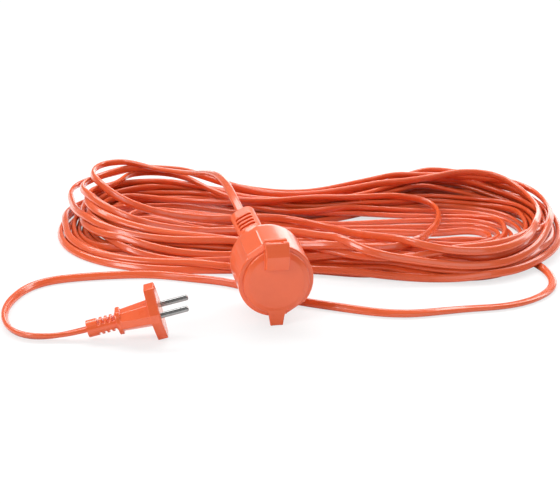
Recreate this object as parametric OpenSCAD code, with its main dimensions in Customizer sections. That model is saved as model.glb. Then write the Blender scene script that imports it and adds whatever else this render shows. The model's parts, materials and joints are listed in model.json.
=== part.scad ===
// Extension lead: round socket with a hinged lid, two-pin plug and a flat
// two-core cord wound into a waisted hank.
// Millimetres. The socket's axis runs along Y with the lid facing -Y; the origin
// is under the middle of the socket, on the floor.

/* [Socket housing] */
// Outer diameter of the socket housing
housing_d = 52; // [50:0.5:54]
// Distance from the rim to the rear shoulder
housing_len = 40; // [38:0.5:46]
// Depth of the rounded back behind the shoulder
back_len = 10; // [8:0.5:12]
// Width of each flat grip pad
pad_w = 13.2; // [10:0.2:15]
// Length of each grip pad, from the rim
pad_len = 33; // [26:1:36]
// Turn of the grip pads away from the hinge line, degrees
pad_turn = 33; // [30:1:36]

/* [Lid] */
// Diameter of the lid
lid_d = 45.8; // [45:0.1:47]
// Thickness of the lid
lid_t = 3.2; // [2.8:0.1:3.6]
// Diameter of the lid's flat face, inside its sloping edge
lid_flat_d = 38; // [34:0.5:40]
// Length of the finger tab below the housing
tab_drop = 6; // [4:0.5:8]
// Width of the finger tab at its end
tab_w = 8.6; // [7:0.2:10]
// Width of the hinge block
block_w = 16; // [14:0.5:18]
// How far the lid opens, degrees
lid_open = 105; // [95:5:110]

/* [Contacts and pins] */
// Distance between the two pins and between the two pin holes
pin_pitch = 19; // [18:0.1:20]
// Diameter of a plug pin
pin_d = 4; // [3.8:0.1:4.2]
// Free length of a plug pin
pin_len = 19; // [17:0.5:19.5]
// Diameter of a pin hole in the socket
hole_d = 4.6; // [4.5:0.1:5]

/* [Plug] */
// Height of the plug's flange
flange_h = 37.5; // [34:0.5:40]
// Width of the plug's flange
flange_w = 28; // [27:0.5:31]
// Thickness of the plug's flange
flange_t = 7; // [6:0.5:8]
// Length of the tapered body behind the flange
taper_len = 20; // [18:1:24]
// Length of each strain relief's end collar
collar_len = 6.8; // [5:0.2:8]

/* [Cord] */
// Width of the flat two-core cord
cord_w = 6; // [5.6:0.1:6.2]
// Thickness of the flat two-core cord
cord_t = 3.8; // [3.4:0.1:4]
// Number of wound loops in the hank
loops = 23.2; // [20.2:1:23.2]
// Half the length of the hank
hank_half_len = 196; // [190:1:200]
// Half the width of the hank across its lobes
hank_half_w = 95; // [92:1:98]
// Height of one layer of loops
layer_h = 6; // [4.4:0.1:6.6]

/* [Hidden] */
fine = 64;
slack = 0.2;
seat_gap = 0.05;
// --- socket sizes
housing_r = housing_d / 2;
axis_h = housing_r + tab_drop;
back_end = housing_len + back_len;
back_round = back_len - 1;
bore_r = lid_d / 2 - 1.4;
face_recess = 1.2;
face_t = 19;
face_back = face_recess + face_t;
chamber_r = bore_r - 4;
chamber_end = housing_len + 2;
pad_flat = housing_r + 0.2;
// --- hinge sizes
hinge_z = housing_r + 0.2;
hinge_y = -3.8;
hinge_pin_r = 1.25;
knuckle_r = 3.4;
pocket_r = 3.3;
lug_r = 3;
lug_w = 7.6;
lug_neck_h = 1.4;
block_depth = 4.6;
block_front = hinge_y - block_depth;
block_foot = 2.2;
block_roof = 1.1;
lid_lap = 2.5;
tab_flare = 3;
tab_dip = 0.25;
bridge_len = 5;
joint_gap = 0.3;
block_low = 9.7;
// --- where the opened block's top meets the front of the bridge, about the hinge
stop_run = (-hinge_y - knuckle_r * sin(lid_open)) / cos(lid_open);
stop_z = knuckle_r * cos(lid_open) - stop_run * sin(lid_open);
bridge_slope = max(0.8, lug_r + joint_gap - stop_z);
// --- cord exit of the socket
exit_clock = 28;
exit_tilt = 20;
exit_back = 6;
exit_y = housing_len + exit_back;
exit_r = 18.6;
boss_r = 9.6;
guard_w = 18;
guard_h = 12.4;
rail_w = 3;
slot_t = 1.7;
slot_pitch = 3.5;
slots = 4;
slot_skin = 0.7;
guard_root = 3.6;
guard_len = guard_root + slots * slot_pitch + collar_len;
exit_chamber = 8;
exit_roll = -atan2(sin(exit_clock), cos(exit_clock) * cos(exit_tilt));
core_d = 2.4;
core_gap = 1.5;
core_end_gap = 1;
core_bend = 1.5;
core_back = 1.6;
core_sides = 12;
core_steps = 6;
sleeve_r = hole_d / 2 + 0.6;
sleeve_len = 13;
crimp_r = 1.8;
crimp_len = 5;
// --- plug sizes
collar_t = 3;
plug_pitch_up = 14.2;
plug_turn = -5.6;
plug_x = -83;
plug_y = -28;
bridge_t = 4;
bridge_w = 25.4;
bridge_h = 12.6;
pin_root = flange_t / 2 - bridge_t - 2;
shank_r = pin_d / 2 - 0.4;
sheath_in = 16;
sheath_x = pin_root - sheath_in;
body_w = flange_w - 0.6;
body_h = 15.5;
rear_w = 20.4;
rear_h = 12.8;
collar_w = 19;
collar_h = 16.4;
relief_d = 11.8;
relief_len = slots * slot_pitch + collar_len;
plug_rear = flange_t / 2 + taper_len + collar_t;
// --- the plug rests on the lowest edge of its flange
plug_h = flange_h / 2 * cos(plug_pitch_up) + flange_t / 2 * sin(plug_pitch_up);
// --- the socket's middle stands over the origin
rim_y = -(block_front + back_end) / 2;

// --- hank
hank_x = 53;
hank_y = 147;
hank_turn = -13;
rings = 24;
per_layer = 6;
loop_step = 9.6;
waist_in = 0.25;
waist_shift = -23;
waist_span = 74;
lobe_swell = 0.05;
fullness = 0.72;
start_turn = -48;
waist_crowd = 7;
hank_tilt = 5;
lift_from = 0;
lift_full = 120;
lift_turns = 0.4;
climb_turns = 0.25;

// ---------------------------------------------------------------- placing
module at_socket() {
    translate([0, rim_y, axis_h]) children();
}

// Turns a piece drawn along +Z to lie along the socket's +Y axis
module along_y() {
    rotate([-90, 0, 0]) children();
}

// The cord exit of the socket: +Z points out along the cord
module at_exit() {
    at_socket()
        rotate([0, -exit_clock, 0])
            translate([0, exit_y, exit_r])
                rotate([exit_tilt - 90, 0, 0]) children();
}

// The plug: +X points out along the pins, +Z along the flange
module at_plug() {
    translate([plug_x, plug_y, plug_h])
        rotate([0, 0, plug_turn])
            rotate([0, -plug_pitch_up, 0]) children();
}

// Turns a piece drawn along +Z to lie along the plug's -X axis
module along_back() {
    rotate([0, -90, 0]) children();
}

function exit_point(d) =
    let (up = exit_r + d * sin(exit_tilt))
    [-sin(exit_clock) * up, rim_y + exit_y + d * cos(exit_tilt),
     axis_h + cos(exit_clock) * up];

function plug_point(d) =
    [plug_x + d * cos(plug_pitch_up) * cos(plug_turn),
     plug_y + d * cos(plug_pitch_up) * sin(plug_turn),
     plug_h + d * sin(plug_pitch_up)];

// ---------------------------------------------------------------- shared shapes
module oval(w, h) {
    for (s = [-1, 1]) translate([s * (w - h) / 2, 0]) circle(d = h, $fn = fine);
    square([w - h, h], center = true);
}

module rod(from, to, r) {
    way = to - from;
    run = norm([way[0], way[1]]);
    translate(from)
        rotate([0, atan2(run, way[2]), atan2(way[1], way[0])])
            cylinder(h = norm(way), r = r, $fn = fine);
}

// A stripped core: straight out of its crimp, bent at the turn, straight to the sheath
module bent_core(seat, turn, end) {
    ahead = (turn - seat) / norm(turn - seat);
    after = (end - turn) / norm(end - turn);
    bend = [for (i = [0 : core_steps]) i / core_steps];
    points = concat(
        round_ring(seat, ahead),
        [for (t = bend) each round_ring(
            turn + core_bend * (t * t * after - (1 - t) * (1 - t) * ahead),
            (1 - t) * ahead + t * after)],
        round_ring(end, after));
    tube(points, core_sides);
}

function round_ring(p, way) =
    let (t = way / norm(way), a = flat_way(t), b = cross(t, a))
    [for (j = [0 : core_sides - 1])
        let (q = 360 * j / core_sides)
        p + core_d / 2 * (a * cos(q) + b * sin(q))];

// Slots on both broad sides, down to a skin over the flat cord
module relief_slots(w, h, first) {
    floor_h = cord_t / 2 + slack + slot_skin;
    for (i = [0 : slots - 1], s = [-1, 1])
        translate([0, s * (floor_h + h) / 2, first + (i + 0.5) * slot_pitch])
            cube([w, h - floor_h, slot_t], center = true);
}

// ---------------------------------------------------------------- socket
module housing_outline() {
    steps = 6;
    edge = housing_r - back_round;
    polygon(concat(
        [[0, 0], [housing_r - 0.6, 0], [housing_r, 0.6]],
        [for (i = [0 : steps])
            let (a = i * 90 / steps)
            [edge + back_round * cos(a), housing_len + back_round * sin(a)]],
        [[housing_r * 0.35, back_end], [0, back_end]]));
}

module socket_housing() {
    color("orangered")
    difference() {
        union() {
            at_socket() along_y()
                rotate_extrude($fn = 128) housing_outline();
            at_socket() for (side = [0, 180])
                rotate([0, side - pad_turn, 0]) along_y()
                    translate([-pad_w / 2, -pad_flat, 0])
                        cube([pad_w, pad_flat, pad_len]);
            at_exit() translate([0, 0, -exit_chamber])
                cylinder(h = exit_chamber, r = boss_r, $fn = fine);
            hinge_bridge();
        }
        at_socket() along_y() {
            translate([0, 0, -1])
                cylinder(h = face_back + 1, r = bore_r, $fn = 128);
            cylinder(h = chamber_end, r = chamber_r, $fn = 128);
        }
        at_exit() translate([0, 0, -exit_chamber - boss_r / 2])
            linear_extrude(exit_chamber + boss_r)
                oval(cord_w + 2 * slack, cord_t + 2 * slack);
        at_exit() linear_extrude(guard_len)
            oval(guard_w + 2 * seat_gap, guard_h + 2 * seat_gap);
        hinge_axis_rod(hinge_pin_r, lug_w + 2);
    }
}

// The raised bridge behind the rim, with the lug that carries the hinge pin
module hinge_bridge() {
    top = hinge_z + lug_r;
    at_socket() {
        rotate([90, 0, 90])
            linear_extrude(block_w, center = true)
                polygon([
                    [0, housing_r - lid_lap], [bridge_len, housing_r - lid_lap],
                    [bridge_len * 1.2, housing_r - lid_lap / 5], [bridge_len, top],
                    [bridge_slope, top], [0, top - bridge_slope]]);
        translate([-lug_w / 2, hinge_y, hinge_z])
            rotate([90, 0, 90]) cylinder(h = lug_w, r = lug_r, $fn = fine);
        translate([-lug_w / 2, hinge_y, hinge_z - lug_neck_h])
            cube([lug_w, -hinge_y + 1, 2 * lug_neck_h]);
    }
}

module hinge_axis_rod(r, w) {
    at_socket() translate([-w / 2, hinge_y, hinge_z])
        rotate([90, 0, 90]) cylinder(h = w, r = r, $fn = fine);
}

module hinge_pin() {
    color("silver") hinge_axis_rod(hinge_pin_r, block_w - 2);
}

module pin_holes(r, from, len) {
    for (s = [-1, 1]) translate([s * pin_pitch / 2, 0, from])
        cylinder(h = len, r = r, $fn = fine);
}

module socket_face() {
    color("dimgray") at_socket() along_y() difference() {
        translate([0, 0, face_recess])
            cylinder(h = face_t, r = bore_r - 0.1, $fn = 128);
        pin_holes(hole_d / 2, 0, face_t + 4);
        pin_holes(sleeve_r + 0.05, face_back - sleeve_len, sleeve_len + 1);
        for (s = [-1, 1]) translate([s * pin_pitch / 2, 0, face_recess - 0.01])
            cylinder(h = 0.9, r1 = hole_d / 2 + 0.9, r2 = hole_d / 2, $fn = fine);
    }
}

module socket_contact(side) {
    at_socket() along_y() translate([side * pin_pitch / 2, 0, 0]) {
        difference() {
            translate([0, 0, face_back - sleeve_len])
                cylinder(h = sleeve_len, r = sleeve_r, $fn = fine);
            translate([0, 0, face_back - sleeve_len - 1])
                cylinder(h = sleeve_len, r = hole_d / 2, $fn = fine);
        }
        translate([0, 0, face_back]) cylinder(h = 1.2, r = crimp_r, $fn = fine);
    }
}

module socket_crimp(side) {
    at_socket() along_y()
        translate([side * pin_pitch / 2, 0, face_back + 1.2])
            difference() {
                cylinder(h = crimp_len, r = crimp_r, $fn = fine);
                translate([0, 0, crimp_len / 2])
                    cylinder(h = crimp_len, r = core_d / 2 + 0.1, $fn = fine);
            }
}

function socket_core_from(side) =
    let (a = exit_point(-exit_chamber - core_end_gap))
    a + side * core_gap * [cos(exit_clock), 0, sin(exit_clock)];

module socket_core(side) {
    crimp = [side * pin_pitch / 2, rim_y + face_back + 1.2 + crimp_len, axis_h];
    seat = crimp - [0, crimp_len / 2 - 0.2, 0];
    turn = crimp + [0, 2 * core_back, 0];
    bent_core(seat, turn, socket_core_from(side));
}

module socket_strain_relief() {
    color("orangered") at_exit() difference() {
        linear_extrude(guard_len) oval(guard_w, guard_h);
        translate([0, 0, -1]) linear_extrude(guard_len + 2)
            oval(cord_w + 2 * slack, cord_t + 2 * slack);
        relief_slots(guard_w - 2 * rail_w, guard_h, guard_root);
    }
}

// ---------------------------------------------------------------- lid
module lid() {
    color("orangered") difference() {
        union() {
            at_socket() along_y() mirror([0, 0, 1])
                rotate_extrude($fn = 128) polygon([
                    [0, 0], [lid_d / 2, 0], [lid_d / 2, lid_t * 0.4],
                    [lid_d / 2 - 0.5, lid_t * 0.62],
                    [lid_flat_d / 2, lid_t], [0, lid_t]]);
            lid_tab();
            hinge_block();
        }
        hinge_axis_rod(hinge_pin_r + 0.06, block_w + 4);
        hinge_pocket();
    }
    color("orangered") hinge_plugs();
}

module lid_tab() {
    end = axis_h;
    neck = lid_d / 2 + tab_drop * 0.3;
    root = lid_d / 2 - tab_flare;
    at_socket() rotate([90, 0, 0]) linear_extrude(lid_t * 0.8) polygon([
        [-tab_w / 2 - tab_flare, -root], [-tab_w / 2 - tab_flare * 0.37, -neck],
        [-tab_w / 2, -end], [-tab_w / 4, -end + tab_dip],
        [tab_w / 4, -end + tab_dip], [tab_w / 2, -end],
        [tab_w / 2 + tab_flare * 0.37, -neck], [tab_w / 2 + tab_flare, -root]]);
}

// Knuckle block on the lid, seen from the side as [y, z] about the hinge pin
module hinge_block() {
    steps = 8;
    low = block_low - hinge_z;
    front = block_front - hinge_y;
    face = -lid_t - hinge_y;
    at_socket() translate([0, hinge_y, hinge_z])
        rotate([90, 0, 90]) linear_extrude(block_w, center = true)
            polygon(concat(
                [[face, low], [face - block_foot, low], [front, knuckle_r * 0.6],
                 [front + block_roof, knuckle_r]],
                [for (i = [0 : steps])
                    let (a = 90 - i * 90 / steps)
                    [knuckle_r * cos(a), knuckle_r * sin(a)]],
                [[knuckle_r, lid_d / 2 - lid_lap - hinge_z],
                 [face, lid_d / 2 - lid_lap - hinge_z]]));
}

// Room for the housing's lug as the lid swings, open to the rear and the top
module hinge_pocket() {
    w = lug_w + 2 * joint_gap;
    at_socket() translate([-w / 2, hinge_y, hinge_z]) {
        rotate([90, 0, 90]) cylinder(h = w, r = pocket_r, $fn = fine);
        translate([0, -pocket_r, 0]) cube([w, 2 * pocket_r + 2, pocket_r + 2]);
        translate([0, 0, -lug_neck_h - joint_gap])
            cube([w, pocket_r + 2, lug_neck_h + joint_gap + 1]);
    }
}

// Caps that close the outer ends of the hinge bore
module hinge_plugs() {
    cap = 0.8;
    for (s = [-1, 1]) at_socket()
        translate([s * (block_w - cap) / 2, hinge_y, hinge_z])
            rotate([90, 0, 90])
                cylinder(h = cap, r = hinge_pin_r + 0.2, center = true, $fn = fine);
}

// ---------------------------------------------------------------- plug
module flange_outline() {
    flat = 5.5;
    side = 3;
    polygon([
        [flange_w / 2, side], [flat, flange_h / 2], [-flat, flange_h / 2],
        [-flange_w / 2, side], [-flange_w / 2, -side], [-flat, -flange_h / 2],
        [flat, -flange_h / 2], [flange_w / 2, -side]]);
}

module body_outline(w, h) {
    polygon([
        [w / 2, 2.4], [w / 5, h / 2], [-w / 5, h / 2], [-w / 2, 2.4],
        [-w / 2, -2.4], [-w / 5, -h / 2], [w / 5, -h / 2], [w / 2, -2.4]]);
}

// Lays an outline drawn as [side, height] square to the plug's axis at x
module across_plug(x, t) {
    translate([x, 0, 0]) rotate([90, 0, 90]) linear_extrude(t) children();
}

module plug_body() {
    color("orangered") at_plug() difference() {
        union() {
            across_plug(-flange_t / 2, flange_t) flange_outline();
            hull() {
                across_plug(-flange_t / 2, 0.5) body_outline(body_w, body_h);
                across_plug(-flange_t / 2 - taper_len, 0.5) body_outline(rear_w, rear_h);
            }
            across_plug(-plug_rear, collar_t) oval_tall(collar_w, collar_h);
        }
        across_plug(flange_t / 2 - bridge_t, bridge_t + 1)
            oval(bridge_w + 0.1, bridge_h + 0.1);
        for (side = [-1, 1]) plug_channel(side);
        across_plug(-plug_rear - 1, plug_rear)
            oval(cord_w + 2 * slack, cord_t + 2 * slack);
    }
}

// Rounded collar with flattened top and bottom
module oval_tall(w, h) {
    intersection() {
        circle(d = w, $fn = fine);
        square([w, h], center = true);
    }
}

// Room in the moulding for one pin's crimp and its core
module plug_channel(side) {
    turn = core_turn(side);
    sheath = core_sheath(side);
    way = sheath - turn;
    rod([pin_root + 3, turn[1], 0], turn, crimp_r + slack);
    translate(turn) sphere(r = crimp_r + slack, $fn = fine);
    rod(turn, sheath + way / norm(way), core_d / 2 + slack);
}

module plug_bridge() {
    color("darkorange") at_plug() difference() {
        across_plug(flange_t / 2 - bridge_t, bridge_t) oval(bridge_w, bridge_h);
        for (s = [-1, 1]) translate([0, s * pin_pitch / 2, 0])
            across_plug(flange_t / 2 - bridge_t - 1, bridge_t + 2)
                circle(r = shank_r, $fn = fine);
    }
}

module plug_pin(side) {
    shank = flange_t / 2 - pin_root;
    tip = 0.8;
    color("silver") at_plug() translate([pin_root, side * pin_pitch / 2, 0])
        rotate([0, 90, 0]) {
            cylinder(h = shank + 1, r = shank_r, $fn = fine);
            translate([0, 0, shank])
                cylinder(h = pin_len - tip, r = pin_d / 2, $fn = fine);
            translate([0, 0, shank + pin_len - tip])
                cylinder(h = tip, r1 = pin_d / 2, r2 = pin_d / 2 - tip, $fn = fine);
        }
}

module plug_crimp(side) {
    color("goldenrod") at_plug() translate([pin_root, side * pin_pitch / 2, 0]) along_back()
        difference() {
            cylinder(h = crimp_len, r = crimp_r, $fn = fine);
            translate([0, 0, crimp_len / 2])
                cylinder(h = crimp_len, r = core_d / 2 + 0.1, $fn = fine);
        }
}

module plug_core(side) {
    turn = core_turn(side);
    seat = turn + [core_back + crimp_len / 2 - slack, 0, 0];
    at_plug() bent_core(seat, turn, core_sheath(side));
}

// Where a core bends behind its crimp, and where it enters the cord's sheath
function core_turn(side) = [pin_root - crimp_len - core_back, side * pin_pitch / 2, 0];
function core_sheath(side) = [sheath_x + core_end_gap, side * core_gap, 0];

module plug_strain_relief() {
    color("orangered") at_plug() translate([-plug_rear, 0, 0]) along_back()
        difference() {
            cylinder(h = relief_len, d = relief_d, $fn = fine);
            rotate(90) {
                translate([0, 0, -1]) linear_extrude(relief_len + 2)
                    oval(cord_w + 2 * slack, cord_t + 2 * slack);
                relief_slots(relief_d + 1, relief_d, 0.2);
            }
        }
}

// ---------------------------------------------------------------- cord
// Each stop of a route is [x, y, z, roll]: roll 0 lies flat, 90 stands on edge
function stop(p, roll) = [p[0], p[1], p[2], roll];

plug_end = plug_rear + relief_len;
plug_route = concat(
    [for (d = [-sheath_x, plug_rear, plug_end, plug_end + cord_w])
        stop(plug_point(-d), 0)],
    [
        [-148, -21.8, 3.4, 25], [-159, -21, 3, 45], [-170, -17.5, 3, 50],
        [-178.5, -8, 3, 50], [-182.8, 6, 3, 50], [-183.5, 22, 3, 55],
        [-181, 38, 3, 60], [-174.5, 54, 3, 60], [-165, 68, 3, 55],
        [-151, 77, 3, 50], [-134, 80, 3, 45], [-114, 80.5, 3, 45],
        [-94, 79.5, 3, 45], [-76, 76.8, 3, 50], [-60, 70.5, 3, 60],
        [-43.5, 62.5, 3, 75], [-29, 55.5, 3.1, 90], [-15, 45, 3.1, 90],
        [-5, 33, 3.1, 90], [6, 21, 3.1, 90], [20, 10, 3.1, 80],
        [36, 0.5, 3, 60], [54, -10, 3, 50], [73, -20, 3, 40],
        [93, -25, 2.8, 30], [115, -24, 2.6, 20], [137, -22.5, 2.4, 10],
        [158, -22.5, 2.2, 0], [177, -18, 2, 0], [193, -9, 2, 0],
        [206, 4, 2, 0], [213, 20, 2, 0], [215, 37, 2, 0], [212, 54, 2, 0],
        [205, 69, 2, 0], [194, 81, 2, 0], [179, 90, 2, 0]
    ],
    [for (d = [2, 1]) stop(hank_point(0) + hank_way(0) * d * cord_w * 1.2, 0)],
    [stop(hank_point(0), 0)]);

socket_route = concat(
    [for (d = [-exit_chamber, 0, guard_len, guard_len + cord_w])
        stop(exit_point(d), exit_roll)],
    [
        [-16, 68, 61.5, -29], [-17, 84, 63.5, -27], [-18, 101, 63.5, -24],
        [-19, 118, 62, -20], [-20.5, 136, 58.5, -15], [-22.5, 154, 53.5, -10],
        [-25.5, 172, 47.5, -5], [-30, 189, 41.5, 0], [-37, 204, 36, 0],
        [-48, 216, 32, 0], [-63, 224, 29.5, 0], [-80, 230, 28, 0],
        [-97, 235, 27.6, 0], [-112, 233, 27.2, 0], [-122, 222, 27, 0],
        [-126, 207, 27, 0], [-124, 190, 27, 0], [-117, 174, 27, 0],
        [-105, 161, 26.8, 0], [-90, 152, 26, 0], [-73, 145, 24, 0]
    ],
    [for (d = [2, 1]) stop(hank_point(loops) - hank_way(loops) * d * cord_w, 0)],
    [stop(hank_point(loops), 0)]);

// ---- wound hank, n is the turn number
function turned(p) = [
    hank_x + p[0] * cos(hank_turn) - p[1] * sin(hank_turn),
    hank_y + p[0] * sin(hank_turn) + p[1] * cos(hank_turn), p[2]];
function blunt(c) = sign(c) * pow(abs(c), fullness);
function from_inside(n) =
    per_layer - abs(per_layer - (n - 2 * per_layer * floor(n / (2 * per_layer))));
function ease(x) = let (c = min(max(x, 0), 1)) c * c * (3 - 2 * c);
function layer(n) = [for (k = 1, s = 0; k <= 4;
    s = s + ease((n - k * per_layer + climb_turns) / (2 * climb_turns)), k = k + 1) s][3];
function hank_local(n) =
    let (even = start_turn - 360 * n,
         a = even + waist_crowd * sin(2 * even),
         inset = loop_step * (per_layer - from_inside(n)),
         u = (hank_half_len - cord_w / 2 - inset) * blunt(cos(a)),
         near = exp(-pow(u / waist_span, 2)),
         v = (hank_half_w - cord_w / 2 - inset) * blunt(sin(a))
             * (1 - waist_in * near + lobe_swell * u / hank_half_len)
             + waist_shift * near,
         lift = hank_tilt * ease((u - lift_from) / (lift_full - lift_from)))
    [u, v, cord_t / 2 + layer(n) * layer_h + lift * ease(n / lift_turns)];
function hank_point(n) = turned(hank_local(n));
function hank_way(n) =
    let (w = hank_point(n - 0.01) - hank_point(n + 0.01)) w / norm(w);

// ---- tubes
function flat_way(t) = let (s = norm([t[0], t[1]])) [t[1] / s, -t[0] / s, 0];
function spot(p) = [p[0], p[1], p[2]];
function tangent(route, i) =
    let (last = len(route) - 1,
         w = spot(route[min(i + 1, last)]) - spot(route[max(i - 1, 0)]))
    w / norm(w);
function ring_points(p, t, roll, sides, turn) =
    let (a = flat_way(t), b = cross(t, a), k = 180 / sides,
         wide = cord_w / 2 / (turn > 0 ? cos(k) : 1),
         tall = cord_t / 2 / (turn > 0 ? cos(k) : sin(60)))
    [for (j = [0 : sides - 1])
        let (q = turn + 360 * j / sides, x = wide * cos(q), y = tall * sin(q))
        p + a * (x * cos(roll) - y * sin(roll)) + b * (x * sin(roll) + y * cos(roll))];
function route_rings(route, sides) = [
    for (i = [0 : len(route) - 1])
        each ring_points(spot(route[i]), tangent(route, i), route[i][3], sides,
            180 / sides)];
function tube_faces(count, sides) = concat(
    [for (j = [1 : sides - 2]) [0, j + 1, j]],
    [for (i = [0 : count - 2], j = [0 : sides - 1])
        let (a = i * sides + j, b = i * sides + (j + 1) % sides)
        each [[a, b, a + sides], [b, b + sides, a + sides]]],
    [for (j = [1 : sides - 2])
        let (e = (count - 1) * sides) [e, e + j, e + j + 1]]);

module tube(points, sides) {
    polyhedron(points, tube_faces(len(points) / sides, sides));
}

hank_stops = [for (i = [0 : floor(loops * rings)]) i / rings];
hank_rings = [for (n = hank_stops)
    ring_points(hank_point(n), -hank_way(n), 0, 6, 0)];

// Least gap between the loops, on the rings one or more turns on
function ring_gap(p, q) = min([for (a = p, b = q) norm(a - b)]);
hank_gaps = [for (i = [0 : len(hank_rings) - 1], k = [1 : per_layer * 4])
    if (i + k * rings < len(hank_rings))
        ring_gap(hank_rings[i], hank_rings[i + k * rings])];
echo(least_hank_gap = min(hank_gaps));

module cord_plug_side() {
    color("orangered") tube(route_rings(plug_route, 8), 8);
}

module cord_socket_side() {
    color("orangered") tube(route_rings(socket_route, 8), 8);
}

module cord_hank() {
    color("orangered") tube([for (r = hank_rings) each r], 6);
}

// ---------------------------------------------------------------- assembly
socket_housing();
socket_face();
color("gold") socket_contact(-1);  // socket_contact_live
color("gold") socket_contact(1);  // socket_contact_neutral
color("goldenrod") socket_crimp(-1);  // socket_crimp_live
color("goldenrod") socket_crimp(1);  // socket_crimp_neutral
color("saddlebrown") socket_core(-1);  // socket_core_live
color("steelblue") socket_core(1);  // socket_core_neutral
socket_strain_relief();
hinge_pin();
lid();
plug_body();
plug_bridge();
plug_pin(-1);  // plug_pin_live
plug_pin(1);  // plug_pin_neutral
plug_crimp(-1);  // plug_crimp_live
plug_crimp(1);  // plug_crimp_neutral
color("saddlebrown") plug_core(-1);  // plug_core_live
color("steelblue") plug_core(1);  // plug_core_neutral
plug_strain_relief();
cord_plug_side();
cord_hank();
cord_socket_side();
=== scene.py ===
"""Extension lead: trailing socket with a hinged lid, moulded two-pin plug, flat cord in a hank."""

import json
import logging
import math
from dataclasses import dataclass, field
from enum import Enum
from typing import Any, Iterable, Sequence

import bmesh
import bpy
import numpy as np
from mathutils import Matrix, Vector

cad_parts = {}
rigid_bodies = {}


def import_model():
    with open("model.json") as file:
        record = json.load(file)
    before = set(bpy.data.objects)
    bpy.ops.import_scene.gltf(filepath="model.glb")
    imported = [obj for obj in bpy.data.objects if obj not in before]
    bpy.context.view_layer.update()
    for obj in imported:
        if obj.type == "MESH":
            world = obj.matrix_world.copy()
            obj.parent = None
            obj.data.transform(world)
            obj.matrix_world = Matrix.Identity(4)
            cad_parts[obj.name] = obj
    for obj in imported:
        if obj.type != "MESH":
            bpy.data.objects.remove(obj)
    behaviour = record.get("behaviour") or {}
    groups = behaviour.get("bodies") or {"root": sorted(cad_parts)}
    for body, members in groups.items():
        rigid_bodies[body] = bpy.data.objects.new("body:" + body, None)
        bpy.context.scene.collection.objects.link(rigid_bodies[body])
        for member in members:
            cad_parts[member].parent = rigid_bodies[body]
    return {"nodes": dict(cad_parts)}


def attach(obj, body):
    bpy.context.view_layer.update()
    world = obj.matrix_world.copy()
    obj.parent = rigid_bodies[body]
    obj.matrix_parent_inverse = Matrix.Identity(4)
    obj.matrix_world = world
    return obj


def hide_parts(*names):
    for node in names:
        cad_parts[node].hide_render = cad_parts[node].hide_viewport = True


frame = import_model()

LOG = logging.getLogger("extension_lead")
MM = 0.001
WELD = 0.002 * MM
SMOOTHING = 0.5
PVC_IOR = 1.5
PVC_SCATTER = (1.0, 0.35, 0.18)

Array = np.ndarray
Material = bpy.types.Material
Piece = bpy.types.Object
Pair = tuple[float, float]
Colour = tuple[float, float, float]
Point = tuple[float, float, float]
Knot = tuple[float, float, float, float]
Stops = tuple[Pair, ...]
Finishes = dict[str, Material]


class Body(str, Enum):
    """The moving bodies of the lead."""

    LEAD = "lead"
    LID = "lid"


# ---------------------------------------------------------------- shader tools
class Sock:
    """A shader socket or a number, with arithmetic that adds Math nodes."""

    def __init__(self, net: "Net", value: Any) -> None:
        """Keeps the node net and the socket or number."""
        self.net = net
        self.value = value

    def _math(self, operation: str, *others: Any) -> "Sock":
        """Adds one Math node.

        Args:
            operation: The Math node's operation.
            others: Further sockets or numbers.

        Returns:
            The node's result.
        """
        inputs = {i: v for i, v in enumerate((self, *others))}
        return self.net.add("ShaderNodeMath", {"operation": operation}, inputs)

    def __add__(self, other: Any) -> "Sock":
        """Returns self + other."""
        return self._math("ADD", other)

    __radd__ = __add__

    def __mul__(self, other: Any) -> "Sock":
        """Returns self * other."""
        return self._math("MULTIPLY", other)

    __rmul__ = __mul__

    def clamp(self) -> "Sock":
        """Returns self held between 0 and 1."""
        return self.net.add("ShaderNodeClamp", {}, {"Value": self})


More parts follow.
